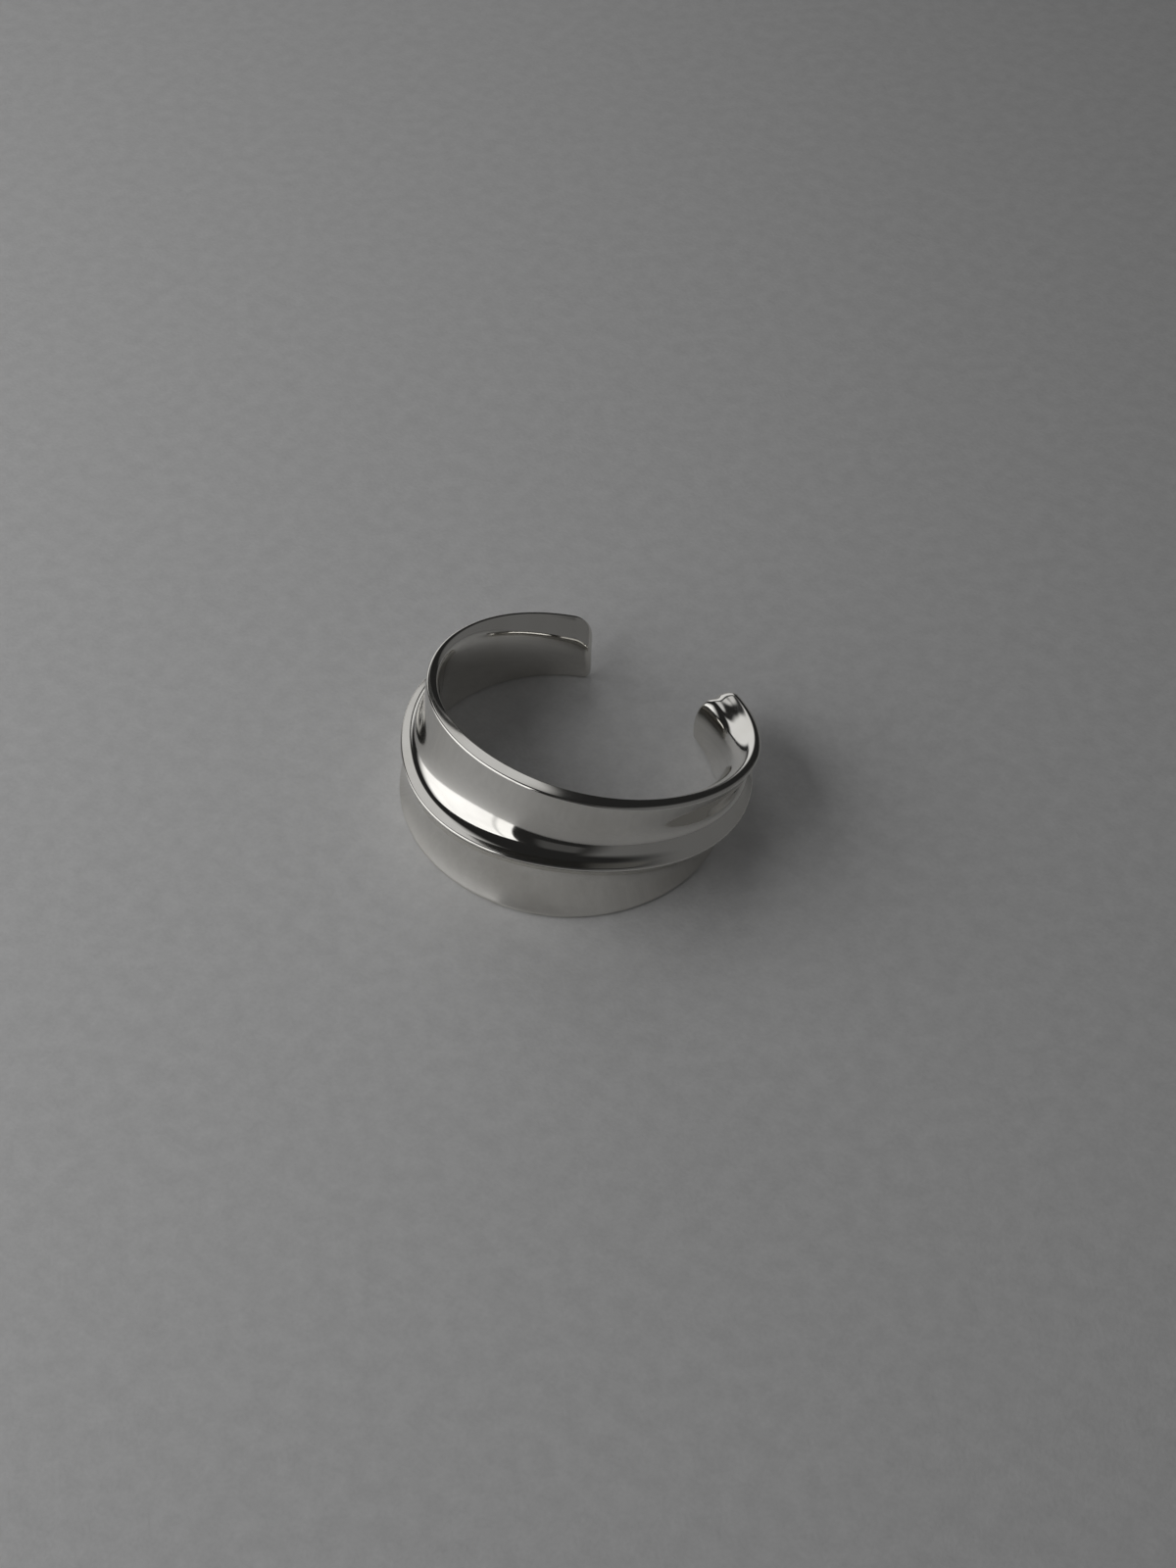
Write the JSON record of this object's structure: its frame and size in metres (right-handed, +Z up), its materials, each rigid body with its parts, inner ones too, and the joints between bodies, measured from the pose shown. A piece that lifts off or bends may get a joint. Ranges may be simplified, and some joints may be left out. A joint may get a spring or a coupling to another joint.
{
  "type": "open cuff ring",
  "caption": "Open finger ring of polished silver, a flared band that is wide in front, with a crisp ridge between hollow flutes, narrowing to rounded free ends.",
  "frame": {"origin": "on the surface the ring lies on, under the middle of its bounding box", "axes": "+Z up, out of the surface the ring lies on; the widest part of the band faces -Y and the gap between the free ends faces +Y"},
  "size_m": [0.0224, 0.0208, 0.0092],
  "materials": {
    "polished_silver": "mirror-polished sterling silver with hairline scratches"
  },
  "bodies": {
    "root": {"cuff_band": "polished_silver"}
  },
  "joints": []
}
